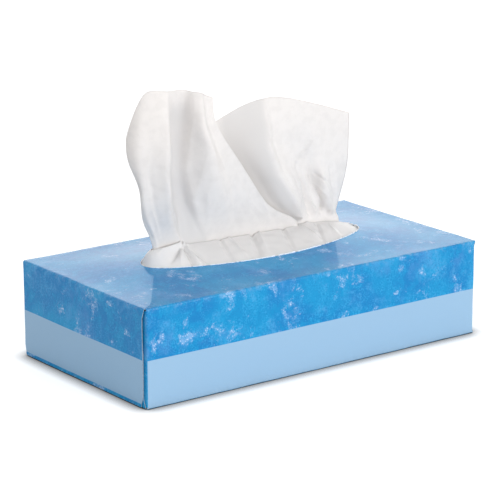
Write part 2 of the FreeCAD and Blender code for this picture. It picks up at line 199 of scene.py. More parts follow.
def add_grid(surface, rows):
    """Adds a grid of points in millimetres to a bmesh as one skin of faces."""
    grid = [[surface.verts.new(Vector(point) * MM) for point in row] for row in rows]
    for upper, lower in zip(grid, grid[1:]):
        for column in range(len(upper) - 1):
            surface.faces.new((upper[column], upper[column + 1], lower[column + 1], lower[column]))
    return grid


def finished_mesh(name, surface, merge=0.02):
    """Merges the skins where they meet, turns them outwards and returns the mesh, shaded smooth."""
    bmesh.ops.remove_doubles(surface, verts=surface.verts, dist=merge * MM)
    bmesh.ops.recalc_face_normals(surface, faces=surface.faces)
    mesh = bpy.data.meshes.new(name)
    surface.to_mesh(mesh)
    surface.free()
    for face in mesh.polygons:
        face.use_smooth = True
    return mesh


def made_plain(piece):
    """Replaces a piece's mesh by what its modifiers make of it."""
    graph = bpy.context.evaluated_depsgraph_get()
    mesh = bpy.data.meshes.new_from_object(piece.evaluated_get(graph))
    piece.modifiers.clear()
    piece.data = mesh
    return piece


# Printed carton board
def varnished_print_material():
    """Offset print on coated board under gloss varnish: saturated colour with a crisp pale reflection."""
    material, tree, surface = blank_material("gloss varnished print on carton board")
    where = millimetres(tree)
    broad = noise_of(tree, where, 30.0, 2.0, 0.5, 0.3)
    sponge = noise_of(tree, where, 11.0, 7.0, 0.72, 0.6)
    fine = noise_of(tree, where, 2.2, 4.0, 0.75, 0.2)
    colour = laid_over(tree, "#007EC0", "#0494CD", between(tree, broad, 0.40, 0.60))
    colour = laid_over(tree, colour, "#008EC9", between(tree, sponge, 0.50, 0.40))
    washes = times(tree, between(tree, sponge, 0.50, 0.64), between(tree, fine, 0.30, 0.60))
    colour = laid_over(tree, colour, "#5CAEE2", times(tree, washes, 0.40))
    lilac = between(tree, noise_of(tree, where, 21.0, 3.0, 0.6, 0.0), 0.55, 0.68)
    colour = laid_over(tree, colour, "#6E9EDB", times(tree, lilac, 0.22))

    # Grain of small lighter and deeper flecks all over
    grain = noise_of(tree, where, 1.0, 3.0, 0.65, 0.4)
    patchy = between(tree, noise_of(tree, where, 6.5, 4.0, 0.65, 0.5), 0.36, 0.60)
    flecks = times(tree, between(tree, grain, 0.50, 0.60), patchy)
    colour = laid_over(tree, colour, "#3FAEE3", times(tree, flecks, 0.50))
    colour = laid_over(tree, colour, "#0072B6", times(tree, between(tree, grain, 0.47, 0.36), 0.45))

    # Sprays of pale dots, in clusters a few millimetres across
    dots = add_node(tree, "ShaderNodeTexVoronoi", {"Scale": 1 / 1.15, "Randomness": 1.0}, {"Vector": where})
    spray = between(tree, noise_of(tree, where, 13.0, 5.0, 0.70, 0.3), 0.56, 0.70)
    speckle = times(tree, between(tree, dots.outputs["Distance"], 0.50, 0.26), spray)
    colour = laid_over(tree, colour, "#D9E3F7", times(tree, speckle, 0.85))
    colour = laid_over(tree, colour, "#A9C9F0", times(tree, spray, 0.45))

    # Plain pale band round the lower half
    place = add_node(tree, "ShaderNodeSeparateXYZ", None, {0: where})
    low = between(tree, place.outputs["Z"], BAND_HEIGHT + BAND_BLUR, BAND_HEIGHT - BAND_BLUR)
    here = add_node(tree, "ShaderNodeAttribute", {"attribute_name": "band"})
    band = times(tree, low, here.outputs["Fac"])
    colour = laid_over(tree, colour, "#98BCDA", band)

    # Folds rub paler, in broken flecks
    fold = add_node(tree, "ShaderNodeAttribute", {"attribute_name": "fold_wear"})
    broken = between(tree, noise_of(tree, where, 3.2, 4.0, 0.7), 0.46, 0.66)
    rubbed = times(tree, fold.outputs["Fac"], broken)
    colour = laid_over(tree, colour, "#C4DCF0", times(tree, rubbed, 0.20))

    ripple = noise_of(tree, where, 9.0, 2.0, 0.5)
    bump = add_node(tree, "ShaderNodeBump", {"Strength": 0.10, "Distance": 0.3 * MM}, {"Height": ripple})
    settings = {
        "Roughness": 0.45,
        "IOR": 1.5,
        "Specular IOR Level": 0.1,
        "Coat Weight": 0.45,
        "Coat Roughness": 0.07,
        "Coat IOR": 1.5,
    }
    links = {"Base Color": colour, "Normal": bump.outputs[0], "Coat Normal": bump.outputs[0]}
    shader = add_node(tree, "ShaderNodeBsdfPrincipled", settings, links)
    tree.links.new(shader.outputs[0], surface)
    return material


def board_back_material():
    """Uncoated back of recycled carton board: warm light grey, matt, with darker fibres."""
    material, tree, surface = blank_material("uncoated grey board back")
    where = millimetres(tree)
    fibres = between(tree, noise_of(tree, where, 1.1, 5.0, 0.75, 1.2), 0.38, 0.70)
    colour = laid_over(tree, "#BDB6AA", "#D6D1C7", fibres)
    shader = add_node(tree, "ShaderNodeBsdfPrincipled", {"Roughness": 0.92}, {"Base Color": colour})
    tree.links.new(shader.outputs[0], surface)
    return material


def cut_edge_material():
    """Die-cut edge of carton board: matt grey fibre, drawn darker and bluer than bare board as painted shade,
    a dull hairline along each edge.
    """
    material, tree, surface = blank_material("die cut board edge in painted shade")
    fibres = noise_of(tree, millimetres(tree), 0.9, 4.0, 0.7)
    # Painted shade: the fibre colours are darkened to the tone of the shaded gaps along the board's edges
    colour = laid_over(tree, "#95A8B9", "#71869A", between(tree, fibres, 0.45, 0.7))
    shader = add_node(tree, "ShaderNodeBsdfPrincipled", {"Roughness": 0.95}, {"Base Color": colour})
    tree.links.new(shader.outputs[0], surface)
    return material


def torn_fibre_material():
    """Paper fibre torn at a perforation: matt white tufts, a broken bright line round the opening."""
    material, tree, surface = blank_material("torn white paper fibre")
    tufts = noise_of(tree, millimetres(tree), 0.6, 3.0, 0.7)
    colour = laid_over(tree, "#FFFFFF", "#DDE3E9", between(tree, tufts, 0.45, 0.70))
    shader = add_node(tree, "ShaderNodeBsdfPrincipled", {"Roughness": 1.0}, {"Base Color": colour})
    tree.links.new(shader.outputs[0], surface)
    return material


def fold_arc(across, up, start, finish, steps=7):
    """Points round a fold's centre, from one angle in degrees to another."""
    angles = np.radians(np.linspace(start, finish, steps))
    return [(across + FOLD * math.cos(angle), up + FOLD * math.sin(angle)) for angle in angles]


def panel_height(x, y):
    """Height of the bulged top panel's outer face."""
    lengthwise = max(0.0, 1 - (x / BULGE_LENGTH) ** 4)
    crosswise = max(0.0, 1 - (y / BULGE_WIDTH) ** 2)
    return TOP + BULGE * lengthwise**2 * crosswise**2


def add_side_panels(surface, lengths, heights):
    """Back, front, bottom and glue flap with the four long folds between them."""
    low, high = FOLD, TOP - FOLD
    seam = SIDE - LAYER
    breadths = np.linspace(-FLAT_SIDE, FLAT_SIDE, BREADTH_POINTS)
    back = [(SIDE, CUT_LIFT)] + [(SIDE, z) for z in heights]
    front = [(-SIDE, z) for z in reversed(heights)]
    bottom = [(y, 0.0) for y in breadths]
    flap = [(seam, z) for z in np.linspace(low, GLUE_FLAP, GLUE_FLAP_POINTS)]
    long_folds = [
        fold_arc(FLAT_SIDE, high, 0, 90),
        fold_arc(-FLAT_SIDE, high, 90, 180),
        fold_arc(-FLAT_SIDE, low, 180, 270),
    ]
    seam_fold = fold_arc(seam - FOLD, low, 270, 360)
    for path in [back, front, bottom, flap, [bottom[-1], seam_fold[0]], seam_fold] + long_folds:
        add_grid(surface, [[(x, y, z) for x in lengths] for y, z in path])
    for path in long_folds + [seam_fold]:
        for end in (-1, 1):
            stub = (end * SLEEVE_END, end * DUST_END)
            add_grid(surface, [[(x, y, z) for x in stub] for y, z in path])


def add_top_panel(surface, lengths, breadths):
    """The top panel, as rings from the oval opening out to the panel's folds."""
    border = [(x, -FLAT_SIDE) for x in lengths[:-1]] + [(SLEEVE_END, y) for y in breadths[:-1]]
    border += [(-x, -y) for x, y in border]
    rings = []
    for share in np.linspace(0, 1, RINGS) ** RING_CROWDING:
        ring = []
        for x, y in border + border[:1]:
            angle = math.atan2(y / FLAT_SIDE, x / SLEEVE_END)
            inner_x, inner_y = OPENING_LENGTH * math.cos(angle), OPENING_WIDTH * math.sin(angle)
            place_x, place_y = inner_x + (x - inner_x) * share, inner_y + (y - inner_y) * share
            ring.append((place_x, place_y, panel_height(place_x, place_y)))
        rings.append(ring)
    add_grid(surface, rings)


def add_end_flaps(surface, end, heights, breadths):
    """Dust flaps, inner flap and outer flap that close one end."""
    for side in (-1, 1):
        path = fold_arc(SLEEVE_END, -FLAT_SIDE, 270, 360)
        path += [(DUST_END, y) for y in np.linspace(-FLAT_SIDE, DUST_FLAP - SIDE, DUST_FLAP_POINTS)[1:]]
        add_grid(surface, [[(end * x, -side * y, z) for z in heights] for x, y in path])

    inner, outer = END - LAYER, END
    up = [(SLEEVE_END, 0.0)] + fold_arc(inner - FOLD, FOLD, 270, 360)
    up += [(inner, z) for z in (SHOULDER, *INNER_FLAP_HEIGHTS, INNER_FLAP - TOE, INNER_FLAP)]
    down = [(SLEEVE_END, TOP)] + fold_arc(outer - FOLD, TOP - FOLD, 90, 0)
    down += [(outer, z) for z in np.linspace(TOP - SHOULDER, CUT_LIFT + TOE, OUTER_FLAP_POINTS)]
    down += [(outer, END_BAND_LOW + shift) for shift in (END_BAND_BLUR, -END_BAND_BLUR)] + [(outer, CUT_LIFT)]
    inner_levels = [FOLD, SHOULDER, INNER_FLAP - TOE, INNER_FLAP]
    outer_levels = [TOP - FOLD, TOP - SHOULDER, CUT_LIFT + TOE, CUT_LIFT]
    for path, inset, levels in ((up, INNER_INSET, inner_levels), (down, OUTER_INSET, outer_levels)):
        widths = [FLAT_SIDE, SIDE - inset, SIDE - inset, SIDE - inset - TOE_INSET]
        order = np.argsort(levels)
        rows = []
        for x, z in path:
            half = np.interp(z, np.array(levels)[order], np.array(widths)[order])
            far = min(FLAT_SIDE, half + FAR_EDGE_SPARE)
            rows.append([(end * x, y / FLAT_SIDE * (half if y < 0 else far), z) for y in breadths])
        add_grid(surface, rows)


def edge_nearness(point, reach):
    """1 on the carton's twelve edges, falling off over that reach in millimetres."""
    x, y, z = point / MM
    gaps = sorted((END - abs(x), SIDE - abs(y), min(z, TOP + BULGE - z if z > TOP else TOP - z)))
    return math.exp(-((gaps[0] ** 2 + gaps[1] ** 2) / reach**2))


def board_warp(point):
    """How far in millimetres the board stands out from flat there: slow waves, and ripples at its edges."""
    wave_length, wave_height = 55, 0.30
    ripple_length, ripple_height = 13, 0.16
    slow = noise.noise(point / (wave_length * MM)) * wave_height
    quick = noise.noise(point / (ripple_length * MM)) * ripple_height
    return slow + quick * edge_nearness(point, WARP_REACH)


def make_carton(materials):
    surface = bmesh.new()
    lengths = np.linspace(-SLEEVE_END, SLEEVE_END, LENGTH_POINTS)
    breadths = np.linspace(-FLAT_SIDE, FLAT_SIDE, BREADTH_POINTS)
    heights = list(np.linspace(FOLD, TOP - FOLD, HEIGHT_POINTS))
    add_side_panels(surface, lengths, heights)
    add_top_panel(surface, lengths, breadths)
    for end in (-1, 1):
        add_end_flaps(surface, end, heights, breadths)
    bmesh.ops.remove_doubles(surface, verts=surface.verts, dist=0.02 * MM)
    bmesh.ops.recalc_face_normals(surface, faces=surface.faces)
    band = surface.verts.layers.float.new("band")
    wear = surface.verts.layers.float.new("fold_wear")
    surface.normal_update()
    for vertex in surface.verts:
        x, y, z = vertex.co / MM
        on_side = abs(y) > SIDE - FACE_DEPTH and z > FOOT_LINE
        on_end = abs(x) > END - FACE_DEPTH and z > END_BAND_LOW
        vertex[band] = 1.0 if on_side or on_end else 0.0
        vertex[wear] = edge_nearness(vertex.co, WEAR_REACH)
    shifts = [vertex.normal * board_warp(vertex.co) * MM for vertex in surface.verts]
    for vertex, shift in zip(surface.verts, shifts):
        vertex.co += shift
    carton = add_object("carton_board", finished_mesh("carton_board", surface, 0.001), materials)
    wall = carton.modifiers.new("board", "SOLIDIFY")
    wall.thickness = BOARD * MM
    wall.offset = -1.0
    wall.use_even_offset = False
    wall.thickness_clamp = 1.0
    wall.material_offset = 1
    wall.material_offset_rim = 2
    made_plain(carton)
    carton.data.set_sharp_from_angle(angle=math.radians(40))
    return carton


# Nibs of torn perforation round the oval
def nib_tree():
    tree = bpy.data.node_groups.new("torn perforation nibs", "GeometryNodeTree")
    inputs = {}
    tree.interface.new_socket("Geometry", in_out="INPUT", socket_type="NodeSocketGeometry")
    for name, kind in (
        ("Pitch", "NodeSocketFloat"),
        ("Nib Size", "NodeSocketVector"),
        ("Seed", "NodeSocketInt"),
        ("Material", "NodeSocketMaterial"),
    ):
        inputs[name] = tree.interface.new_socket(name, in_out="INPUT", socket_type=kind).identifier
    tree.interface.new_socket("Geometry", in_out="OUTPUT", socket_type="NodeSocketGeometry")
    given = add_node(tree, "NodeGroupInput").outputs
    curve = add_node(tree, "GeometryNodeMeshToCurve", None, {"Mesh": given["Geometry"]})
    points = add_node(
        tree,
        "GeometryNodeResampleCurve",
        {"mode": "LENGTH"},
        {"Curve": curve.outputs[0], "Length": given["Pitch"]},
    )
    nib = add_node(tree, "GeometryNodeMeshCube", None, {"Size": given["Nib Size"]})
    along = add_node(tree, "GeometryNodeInputTangent")
    turn = add_node(tree, "FunctionNodeAlignRotationToVector", {"axis": "X"}, {"Vector": along.outputs[0]})
    scale = add_node(
        tree,
        "FunctionNodeRandomValue",
        {"data_type": "FLOAT_VECTOR", 0: SMALLEST_NIB, 1: LARGEST_NIB},
        {"Seed": given["Seed"]},
    )
    kept = add_node(
        tree,
        "FunctionNodeRandomValue",
        {"data_type": "BOOLEAN", "Probability": NIBS_LEFT},
        {"Seed": given["Seed"]},
    )
    placed = add_node(
        tree,
        "GeometryNodeInstanceOnPoints",
        None,
        {
            "Points": points.outputs[0],
            "Selection": kept.outputs[3],
            "Instance": nib.outputs["Mesh"],
            "Rotation": turn.outputs[0],
            "Scale": scale.outputs[0],
        },
    )
    real = add_node(tree, "GeometryNodeRealizeInstances", None, {0: placed.outputs[0]})
    finish = add_node(
        tree, "GeometryNodeSetMaterial", None, {"Geometry": real.outputs[0], "Material": given["Material"]}
    )
    add_node(tree, "NodeGroupOutput", None, {0: finish.outputs[0]})
    return tree, inputs


def made_by(name, mesh, tree, inputs, values):
    """An object whose mesh a node tree makes from that mesh and those named inputs."""
    piece = add_object(name, mesh, [])
    modifier = piece.modifiers.new(name, "NODES")
    modifier.node_group = tree
    for title, value in values.items():
        modifier[inputs[title]] = value
    return made_plain(piece)


def make_nibs(material):
    rim = bpy.data.meshes.new("opening_rim")
    points = []
    for index in range(RIM_POINTS):
        angle = 2 * math.pi * index / RIM_POINTS
        x, y = OPENING_LENGTH * math.cos(angle), OPENING_WIDTH * math.sin(angle)
        points.append(Vector((x, y, panel_height(x, y) - NIB_SINK)) * MM)
    rim.from_pydata(points, [(index, (index + 1) % RIM_POINTS) for index in range(RIM_POINTS)], [])
    tree, inputs = nib_tree()
    values = {"Pitch": NIB_PITCH * MM, "Nib Size": Vector(NIB_SIZE) * MM, "Seed": 7, "Material": material}
    return made_by("perforation_nibs", rim, tree, inputs, values)


# Film window
def film_material():
    """Cast polyethylene film, thin and soft: milky, faintly see-through, its slack creases catch light."""
    material, tree, surface = blank_material("milky polyethylene film")
    where = millimetres(tree)
    crinkle = noise_of(tree, where, 2.2, 4.0, 0.6, 0.8)
    bump = add_node(tree, "ShaderNodeBump", {"Strength": 0.25, "Distance": 0.25 * MM}, {"Height": crinkle})
    settings = {"Base Color": linear("#FFFEFE"), "Roughness": 0.18, "IOR": 1.5, "Alpha": 0.93}
    shader = add_node(tree, "ShaderNodeBsdfPrincipled", settings, {"Normal": bump.outputs[0]})
    glow = add_node(tree, "ShaderNodeBsdfTranslucent", {"Color": linear("#FBFAF9")})
    mixed = add_node(tree, "ShaderNodeMixShader", {0: 0.35}, {1: shader.outputs[0], 2: glow.outputs[0]})
    tree.links.new(mixed.outputs[0], surface)
    return material


# Creases of the film from the slit to the opening's rim: start, end, half width and height
FILM_CREASES = [
    ((-50, -2.5), (-69, -5), 1.3, 2.2),
    ((-53, -4.5), (-66, -11), 1.3, -1.7),
    ((-51, -2), (-60, -15), 0.9, 1.1),
    ((-50, -2), (-53, -20), 1.1, -1.9),
    ((-49, -2), (-49, -21), 1.0, 1.3),
    ((-48, -2), (-43, -20), 1.5, -1.3),
    ((-24, -2), (-30, -20), 1.4, -0.9),
    ((-18, -2), (-20, -22), 1.2, 0.9),
    ((-2, -2), (-11, -21), 1.7, -1.5),
    ((3, -2), (-4, -18), 1.3, 0.9),
    ((20, -2), (12, -22), 1.6, -1.2),
    ((33, -2), (34, -16), 1.3, 1.0),
    ((44, -2), (36, -18), 1.5, -1.3),
    ((52, -2), (50, -14), 1.1, 0.9),
    ((-30, 2), (-38, 18), 1.4, 1.0),
    ((0, 2), (6, 20), 1.5, -1.0),
    ((40, 2), (48, 14), 1.3, 1.0),
]


def crease_height(x, y, creases):
    """Summed height of creases at a place: each is widest at its far end, and fades at its ends and sides."""
    total = 0.0
    overrun, first_width, widening = 0.25, 0.7, 0.6
    for start, finish, width, height in creases:
        run_x, run_y = finish[0] - start[0], finish[1] - start[1]
        length = math.hypot(run_x, run_y)
        share = ((x - start[0]) * run_x + (y - start[1]) * run_y) / length**2
        gap = abs((x - start[0]) * run_y - (y - start[1]) * run_x) / length
        if -overrun < share < 1 + overrun:
            fade = min(1.0, (share + overrun) / overrun, (1 + overrun - share) / (2 * overrun))
            wide = width * (first_width + widening * max(share, 0))
            total += height * fade * math.exp(-((gap / wide) ** 2))
    return total


# The film's rise above the panel's underside along the slit, and the places of the slit's two edges, each as
# (along, value): they press against the sheet, and meet where no sheet stands between them
RISE_LEFT = [(-73.6, 0), (-72.4, 4.2), (-71, 7.0), (-68.5, 9.0), (-64, 9.4), (-52, 8.8), (-34, 7.0)]
FILM_RISE = RISE_LEFT + [(0, 6.2), (40, 5.8), (58, 4.4), (68, 2.4), (73.6, 0)]
FRONT_LEFT_EDGE = [(-69.4, 0), (-68.4, -1.3), (-66, -1.95), (-60, -1.83), (26, -1.83)]
FRONT_EDGE = FRONT_LEFT_EDGE + [(34, 0.9), (61, 1.0), (65, -0.1), (71.5, 0)]
BACK_EDGE = [(-69.4, 0), (-68.4, 1.3), (-66, 1.95), (62, 1.95), (66, 0.5), (71.5, 0)]


def read_along(table, x):
    """The value of a table of (along, value) at a place, straight between its entries."""
    return float(np.interp(x, [place for place, value in table], [value for place, value in table]))


def film_height(x, y):
    """Height of the film: flat under the panel, and drawn up like a tent from the rim to the slit."""
    under_panel = panel_height(x, y) - BOARD - FILM_GAP
    lengthwise = 1 - (x / TENT_LENGTH) ** 2
    if lengthwise <= 0:
        return under_panel
    crosswise = min(1.0, abs(y) / (TENT_WIDTH * lengthwise**0.5))
    middle_fullness, end_fullness = 1.25, 1.3
    fullness = middle_fullness + end_fullness * (x / TENT_LENGTH) ** 12
    return under_panel + read_along(FILM_RISE, x) * (1 - crosswise**fullness)


def make_film(material):
    surface = bmesh.new()
    lengths = np.linspace(-FILM_LENGTH, FILM_LENGTH, FILM_POINTS)
    shares = np.linspace(0, 1, FILM_ROWS) ** FILM_CROWDING
    for side in (-1, 1):
        rows = []
        for share in shares:
            row = []
            for x in lengths:
                slit = read_along(FRONT_EDGE if side < 0 else BACK_EDGE, x)
                y = slit + (side * FILM_WIDTH - slit) * share
                inside = max(0.0, 1 - (x / OPENING_LENGTH) ** 2 - (y / OPENING_WIDTH) ** 2)
                loose = min(1.0, inside * RIM_HOLD)
                z = film_height(x, y) + loose * crease_height(x, y, FILM_CREASES)
                z += loose * FILM_SLACK * noise.noise(Vector((x / SLACK_LENGTH, y / SLACK_WIDTH, 3.1)))
                z += loose * FILM_LIP * math.exp(-abs(y - slit) / FILM_LIP_REACH)
                row.append((x, y, z))
            rows.append(row)
        add_grid(surface, rows)
    film = add_object("film_sheet", finished_mesh("film_sheet", surface, 0.01), [material])
    wall = film.modifiers.new("film", "SOLIDIFY")
    wall.thickness = FILM_THICKNESS * MM
    wall.offset = -1.0
    return made_plain(film)


# Tissue paper
def tissue_material():
    """Dry-creped two-ply tissue: soft, matt and near white, and drawn greyer as painted shade where its
    shaded zones are marked. Its crepe lines, really about 0.3 mm apart, are drawn coarser so that they show."""
    material, tree, surface = blank_material("white two-ply tissue paper")
    where = millimetres(tree)
    crepe = noise_of(tree, where, 1.3, 5.0, 0.72, 0.5)
    cloudy = noise_of(tree, where, 5.0, 3.0, 0.6)
    colour = laid_over(tree, "#F5F2F0", "#F0EDEB", between(tree, cloudy, 0.40, 0.66))
    # Painted shade: a darker grey is laid where the mesh marks the sheet's shaded zones
    painted_shade = add_node(tree, "ShaderNodeAttribute", {"attribute_name": "painted_shade"})
    colour = laid_over(tree, colour, "#E8E6E5", painted_shade.outputs["Fac"])
    bump = add_node(tree, "ShaderNodeBump", {"Strength": 0.16, "Distance": 0.2 * MM}, {"Height": crepe})
    links = {"Base Color": colour, "Normal": bump.outputs[0]}
    shader = add_node(tree, "ShaderNodeBsdfPrincipled", {"Roughness": 0.95, "IOR": 1.4}, links)
    glow = {"Color": linear("#F6F2EF")}
    through = add_node(tree, "ShaderNodeBsdfTranslucent", glow, {"Normal": bump.outputs[0]})
    mixed = add_node(tree, "ShaderNodeMixShader", {0: 0.22}, {1: shader.outputs[0], 2: through.outputs[0]})
    tree.links.new(mixed.outputs[0], surface)
    return material


# Lines of the standing sheet from its top edge down to the slit, round it from its free front edge: the way
# its foot spreads in degrees, its place in the slit as a share of half the slit, and its points above that
# as (along, across, up) in hundredths of the sheet's reach, depth and rise
FRONT, FRONT_LEFT, LEFT, BACK_LEFT, BACK = -90, -135, 180, 135, 90
SHEET_LINES = [
    (FRONT, 0.42, [(-48, -83, 91), (-46, -83, 77), (-31, -74, 58), (-9, -56, 34), (14, -33, 14)]),
    (FRONT, -0.07, [(-56, -89, 94), (-54, -89, 78), (-45, -83, 59), (-32, -67, 38), (-18, -39, 18)]),
    (FRONT, -0.47, [(-63, -89, 96), (-62, -89, 79), (-57, -83, 61), (-52, -67, 41), (-46, -39, 21)]),
    (FRONT, -0.69, [(-74, -72, 97), (-72, -52, 81), (-71, -40, 62), (-68, -29, 41), (-64, -17, 22)]),
    (FRONT, -0.78, [(-87, -94, 99), (-88, -100, 86), (-86, -100, 67), (-82, -83, 45), (-75, -50, 25)]),
    (FRONT, -0.87, [(-97, -83, 100), (-98, -89, 87), (-96, -89, 67), (-92, -72, 46), (-87, -44, 24)]),
    (FRONT_LEFT, -0.93, [(-105, -61, 94), (-107, -67, 81), (-107, -67, 64), (-102, -56, 45), (-95, -33, 24)]),
    (LEFT, -0.955, [(-110, -17, 71), (-110, -17, 64), (-107, -17, 54), (-99, -17, 38), (-95, -11, 21)]),
    (BACK_LEFT, -0.93, [(-96, 17, 70), (-96, 17, 62), (-92, 17, 51), (-87, 17, 37), (-85, 11, 21)]),
    (BACK, -0.73, [(-73, 28, 70), (-72, 28, 61), (-70, 28, 49), (-67, 22, 34), (-65, 17, 18)]),
    (BACK, -0.35, [(-48, 28, 70), (-45, 28, 59), (-41, 28, 46), (-36, 22, 30), (-32, 17, 15)]),
    (BACK, 0.07, [(-37, 32, 68), (-33, 38, 58), (-26, 42, 46), (-15, 36, 29), (-4, 24, 13)]),
    (BACK, 0.29, [(-25, 34, 71), (-21, 42, 61), (-14, 46, 48), (-1, 42, 29), (13, 24, 12)]),
    (BACK, 0.55, [(9, 0, 82), (9, -6, 69), (12, -11, 53), (24, -17, 34), (37, -11, 16)]),
    (BACK, 0.67, [(40, -11, 78), (42, -11, 64), (47, 6, 47), (52, 17, 30), (55, 17, 13)]),
    (BACK, 0.78, [(66, 0, 71), (66, 0, 58), (66, 0, 42), (64, -6, 26), (63, -6, 11)]),
    (BACK, 0.88, [(90, 17, 64), (90, 17, 52), (90, 22, 34), (85, 22, 17), (79, 17, 3)]),
]

# Folds pressed into the standing sheet's front and back halves. Each is a path of (along, up) in millimetres
# from the slit upwards, the breadths of its left slope, its level middle and its right slope, and how far it
# stands out
FRONT_FOLDS = [
    ([(-48, 68), (-54, 76), (-61, 90), (-66, 109), (-67.5, 150)], 1.2, 13.5, 3.5, -4.0),
    ([(-54, 69), (-64, 88), (-70, 112), (-71, 146)], 4.5, 0.0, 2.4, 1.4),
    ([(-62, 70), (-73, 92), (-78, 112)], 1.4, 0.0, 4.0, -1.3),
    ([(-40, 68), (-44, 92), (-43, 112)], 5.0, 0.0, 4.0, 0.8),
    ([(-32, 68), (-36, 84), (-39, 96)], 1.6, 0.0, 4.0, 0.8),
    ([(-12, 68), (-18, 82), (-22, 92)], 1.2, 0.0, 4.0, -0.8),
    ([(12, 68), (2, 84), (-6, 100)], 3.0, 0.0, 2.0, 0.7),
]
BACK_FOLDS = [
    ([(35, 68), (27, 80), (16, 97), (10, 115), (8, 140)], 15.0, 0.0, 2.6, 2.8),
    ([(33, 68), (28, 84), (19, 101)], 5.0, 0.0, 5.0, 1.6),
    ([(42, 68), (38, 82), (32, 100)], 2.4, 0.0, 4.6, -3.6),
    ([(47, 68), (41, 80), (36, 96)], 3.8, 0.0, 3.0, 2.6),
    ([(51, 68), (46, 81), (41, 96)], 2.2, 0.0, 4.6, -3.4),
    ([(57, 68), (52, 81), (48, 96)], 3.8, 0.0, 3.0, 2.4),
    ([(61, 68), (58, 80), (55, 94)], 1.8, 0.0, 3.6, -2.4),
    ([(54, 82), (50, 88), (45, 93)], 1.2, 0.0, 1.8, -1.2),
    ([(51, 79), (47, 84), (43, 88)], 1.2, 0.0, 1.6, 0.9),
    ([(33, 103), (38, 108), (42, 115)], 1.0, 0.0, 3.0, 1.0),
]

# Zones of painted shade on the sheet, in the same form: along a pleat in its front, and beside its free edge
# in its back
FRONT_PAINTED_SHADE = [([(-48, 68), (-54, 76), (-61, 90), (-66, 109), (-67.5, 133)], 0.9, 14.0, 2.5, 1.0)]
BACK_PAINTED_SHADE = [([(12, 68), (4, 80), (-8, 97), (-14, 115), (-16, 175)], 6.0, 20.0, 4.5, 1.0)]


def fold_relief(x, z, folds, fade=FOLD_FADE):
    """How far the folds stand out at a place. Each fades out past its end, over that share of its length."""
    total = 0.0
    for path, left, level, right, height in folds:
        alongs, ups = zip(*path)
        gap = x - np.interp(z, ups, alongs)
        off = -gap / left if gap < 0 else max(0.0, gap - level) / right
        run = (z - ups[0]) / (ups[-1] - ups[0])
        left_over = 1 + FOLD_OVERRUN - run
        if off < 1 and left_over > 0:
            total += height * (1 - off) ** 1.5 * min(1.0, left_over / fade)
    return total


def sheet_line(way, place, upper):
    """One line of the sheet's middle, from its top edge down to its foot on the stack."""
    slit_height = film_height(0, 0)
    outward = Vector((math.cos(math.radians(way)), math.sin(math.radians(way)), 0))
    neck = Vector((place * SLIT_LENGTH, math.copysign(NECK_OFFSET, outward.y) if way != LEFT else 0, 0))
    slit = Vector((0, 0, slit_height))
    points = [
        slit + Vector((along * SHEET_REACH, across * SHEET_DEPTH, up * SHEET_RISE)) / 100
        for along, across, up in upper
    ]
    points.append(neck + Vector((0, 0, film_height(neck.x, 0) + NECK_RISE)))
    points.append(neck + Vector((0, 0, SEAT + FOOT_BEND)))
    for angle in (45, 90):
        out, down = 1 - math.cos(math.radians(angle)), math.sin(math.radians(angle))
        points.append(neck + outward * FOOT_BEND * out + Vector((0, 0, SEAT + FOOT_BEND * (1 - down))))
    for share in (0.5, 1.0):
        points.append(neck + outward * (FOOT_BEND + share * FOOT_LENGTH) + Vector((0, 0, SEAT)))
    return points


def spacing_of(points):
    """Places from 0 to 1 along the first axis of an array of points, by the mean gap between neighbours."""
    gaps = np.linalg.norm(np.diff(points, axis=0), axis=-1)
    while gaps.ndim > 1:
        gaps = gaps.mean(axis=1)
    places = np.concatenate([[0.0], np.cumsum(gaps)])
    return places / places[-1]


def smooth_through(points, places, wanted):
    """A natural cubic spline through points at those places, read at the wanted places."""
    count = len(places)
    gaps = np.diff(places)
    matrix = np.eye(count)
    slopes = np.zeros_like(points)
    for index in range(1, count - 1):
        middle = 2 * (gaps[index - 1] + gaps[index])
        matrix[index, index - 1:index + 2] = gaps[index - 1], middle, gaps[index]
        after = (points[index + 1] - points[index]) / gaps[index]
        before = (points[index] - points[index - 1]) / gaps[index - 1]
        slopes[index] = 6 * (after - before)
    bends = np.linalg.solve(matrix, slopes.reshape(count, -1)).reshape(points.shape)
    found = []
    for place in wanted:
        index = min(max(np.searchsorted(places, place) - 1, 0), count - 2)
        gap = gaps[index]
        ahead, behind = (places[index + 1] - place) / gap, (place - places[index]) / gap
        value = ahead * points[index] + behind * points[index + 1]
        bent = (ahead**3 - ahead) * bends[index] + (behind**3 - behind) * bends[index + 1]
        found.append(value + bent * gap**2 / 6)
    return np.array(found)


def grid_normals(grid):
    across, down = np.gradient(grid, axis=0), np.gradient(grid, axis=1)
    normals = np.cross(across, down)
    return normals / np.linalg.norm(normals, axis=-1, keepdims=True)


